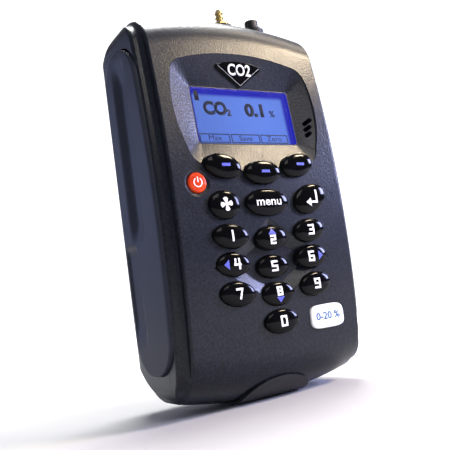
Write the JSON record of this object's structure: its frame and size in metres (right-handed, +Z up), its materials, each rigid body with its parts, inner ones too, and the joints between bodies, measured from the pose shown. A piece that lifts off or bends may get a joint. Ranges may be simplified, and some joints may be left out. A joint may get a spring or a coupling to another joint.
{
  "type": "carbon dioxide monitor",
  "caption": "Hand-held carbon dioxide monitor with a lit display, domed push keys, side grips, a barbed gas inlet and an internal sample pump.",
  "frame": {"origin": "on the ground, below the middle of the case, with the monitor stood on the rubber foot at its lower end", "axes": "+Z up the long axis to the gas inlet end, -Y out of the keypad face, +X to the right of a person reading the display"},
  "size_m": [0.0936, 0.0544, 0.1726],
  "materials": {
    "case_abs": "spark-textured charcoal ABS",
    "silicone": "matt dark grey silicone rubber",
    "seal_rubber": "black nitrile seal",
    "key_gloss": "glossy black domed key",
    "power_key": "glossy orange-red domed key",
    "keypad_rubber": "moulded silicone mat",
    "badge_gloss": "resin-domed black badge",
    "label_white": "resin-domed white label",
    "label_silver": "printed polyester label",
    "window_clear": "clear acrylic window",
    "display_blue": "lit blue liquid crystal panel",
    "backlight": "diffusing light guide",
    "steel": "plated steel",
    "circuit_board": "green solder mask",
    "battery_wrap": "shrink-wrapped cells",
    "inner_plastic": "moulded nylon",
    "aluminium": "machined",
    "brass": "turned brass",
    "socket_black": "moulded black plastic",
    "sintered": "sintered metal",
    "tubing": "soft translucent tubing"
  },
  "bodies": {
    "case": {"badge": "badge_gloss", "battery_cells": "battery_wrap", "battery_tray": "inner_plastic", "board_screws": "steel", "case_screws": "steel", "case_seal": "seal_rubber", "display_backlight": "backlight", "display_bezel": "steel", "display_board": "circuit_board", "display_glass": "display_blue", "display_window": "window_clear", "exhaust_tube": "tubing", "foot": "silicone", "front_label": "label_white", "front_shell": "case_abs", "gas_bench": "aluminium", "hose_barb": "brass", "infrared_detector": "steel", "infrared_lamp": "steel", "inlet_filter": "inner_plastic", "inlet_tube": "tubing", "jack_socket": "socket_black", "keypad_board": "circuit_board", "keypad_mat": "keypad_rubber", "left_grip": "silicone", "main_board": "circuit_board", "pump_body": "inner_plastic", "pump_bracket": "inner_plastic", "pump_motor": "steel", "pump_tube": "tubing", "pump_valves": "inner_plastic", "rear_label": "label_silver", "rear_shell": "case_abs", "right_grip": "silicone", "sensor_tube": "tubing", "sounder": "socket_black", "vent_plug": "sintered"},
    "pump_rotor": {"pump_crank": "steel"},
    "key_0_body": {"key_0": "key_gloss"},
    "key_1_body": {"key_1": "key_gloss"},
    "key_2_body": {"key_2": "key_gloss"},
    "key_3_body": {"key_3": "key_gloss"},
    "key_4_body": {"key_4": "key_gloss"},
    "key_5_body": {"key_5": "key_gloss"},
    "key_6_body": {"key_6": "key_gloss"},
    "key_7_body": {"key_7": "key_gloss"},
    "key_8_body": {"key_8": "key_gloss"},
    "key_9_body": {"key_9": "key_gloss"},
    "key_enter_body": {"key_enter": "key_gloss"},
    "key_menu_body": {"key_menu": "key_gloss"},
    "key_power_body": {"key_power": "power_key"},
    "key_pump_body": {"key_pump": "key_gloss"},
    "key_soft_left_body": {"key_soft_left": "key_gloss"},
    "key_soft_middle_body": {"key_soft_middle": "key_gloss"},
    "key_soft_right_body": {"key_soft_right": "key_gloss"}
  },
  "joints": [
    {"name": "key_0_press", "type": "slide", "parent": "case", "child": "key_0_body", "axis": [0, 1, 0], "range_m": [0, 0.001], "stiffness_N_per_m": 600, "springref_m": -0.0005},
    {"name": "key_1_press", "type": "slide", "parent": "case", "child": "key_1_body", "axis": [0, 1, 0], "range_m": [0, 0.001], "stiffness_N_per_m": 600, "springref_m": -0.0005},
    {"name": "key_2_press", "type": "slide", "parent": "case", "child": "key_2_body", "axis": [0, 1, 0], "range_m": [0, 0.001], "stiffness_N_per_m": 600, "springref_m": -0.0005},
    {"name": "key_3_press", "type": "slide", "parent": "case", "child": "key_3_body", "axis": [0, 1, 0], "range_m": [0, 0.001], "stiffness_N_per_m": 600, "springref_m": -0.0005},
    {"name": "key_4_press", "type": "slide", "parent": "case", "child": "key_4_body", "axis": [0, 1, 0], "range_m": [0, 0.001], "stiffness_N_per_m": 600, "springref_m": -0.0005},
    {"name": "key_5_press", "type": "slide", "parent": "case", "child": "key_5_body", "axis": [0, 1, 0], "range_m": [0, 0.001], "stiffness_N_per_m": 600, "springref_m": -0.0005},
    {"name": "key_6_press", "type": "slide", "parent": "case", "child": "key_6_body", "axis": [0, 1, 0], "range_m": [0, 0.001], "stiffness_N_per_m": 600, "springref_m": -0.0005},
    {"name": "key_7_press", "type": "slide", "parent": "case", "child": "key_7_body", "axis": [0, 1, 0], "range_m": [0, 0.001], "stiffness_N_per_m": 600, "springref_m": -0.0005},
    {"name": "key_8_press", "type": "slide", "parent": "case", "child": "key_8_body", "axis": [0, 1, 0], "range_m": [0, 0.001], "stiffness_N_per_m": 600, "springref_m": -0.0005},
    {"name": "key_9_press", "type": "slide", "parent": "case", "child": "key_9_body", "axis": [0, 1, 0], "range_m": [0, 0.001], "stiffness_N_per_m": 600, "springref_m": -0.0005},
    {"name": "key_enter_press", "type": "slide", "parent": "case", "child": "key_enter_body", "axis": [0, 1, 0], "range_m": [0, 0.001], "stiffness_N_per_m": 600, "springref_m": -0.0005},
    {"name": "key_menu_press", "type": "slide", "parent": "case", "child": "key_menu_body", "axis": [0, 1, 0], "range_m": [0, 0.001], "stiffness_N_per_m": 600, "springref_m": -0.0005},
    {"name": "key_power_press", "type": "slide", "parent": "case", "child": "key_power_body", "axis": [0, 1, 0], "range_m": [0, 0.001], "stiffness_N_per_m": 600, "springref_m": -0.0005},
    {"name": "key_pump_press", "type": "slide", "parent": "case", "child": "key_pump_body", "axis": [0, 1, 0], "range_m": [0, 0.001], "stiffness_N_per_m": 600, "springref_m": -0.0005},
    {"name": "key_soft_left_press", "type": "slide", "parent": "case", "child": "key_soft_left_body", "axis": [0, 1, 0], "range_m": [0, 0.001], "stiffness_N_per_m": 600, "springref_m": -0.0005},
    {"name": "key_soft_middle_press", "type": "slide", "parent": "case", "child": "key_soft_middle_body", "axis": [0, 1, 0], "range_m": [0, 0.001], "stiffness_N_per_m": 600, "springref_m": -0.0005},
    {"name": "key_soft_right_press", "type": "slide", "parent": "case", "child": "key_soft_right_body", "axis": [0, 1, 0], "range_m": [0, 0.001], "stiffness_N_per_m": 600, "springref_m": -0.0005},
    {"name": "pump_spin", "type": "hinge", "parent": "case", "child": "pump_rotor", "pos_m": [0.021, 0.009, 0.11], "axis": [0, 0, 1], "continuous": true}
  ]
}
